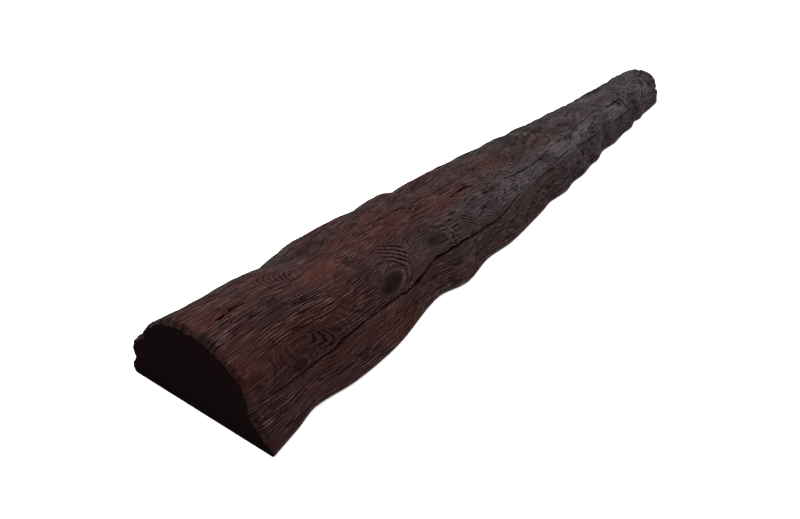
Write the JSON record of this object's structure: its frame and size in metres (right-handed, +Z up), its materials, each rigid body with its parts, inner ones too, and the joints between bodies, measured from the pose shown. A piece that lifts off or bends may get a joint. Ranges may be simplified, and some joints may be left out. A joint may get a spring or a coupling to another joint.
{
  "type": "rustic wooden beam",
  "caption": "Half-round rustic timber beam with a waney, cracked and knotted top and a flat sawn underside.",
  "frame": {"origin": "middle of the sawn underside", "axes": "+X along the beam from the wide squarely sawn end to the narrower far end, +Y to the rounder side, +Z up out of the crest"},
  "size_m": [2.25, 0.2692, 0.1291],
  "materials": {
    "stained_wood": "dark red-brown stain, satin"
  },
  "bodies": {
    "root": {"beam": "stained_wood"}
  },
  "joints": []
}
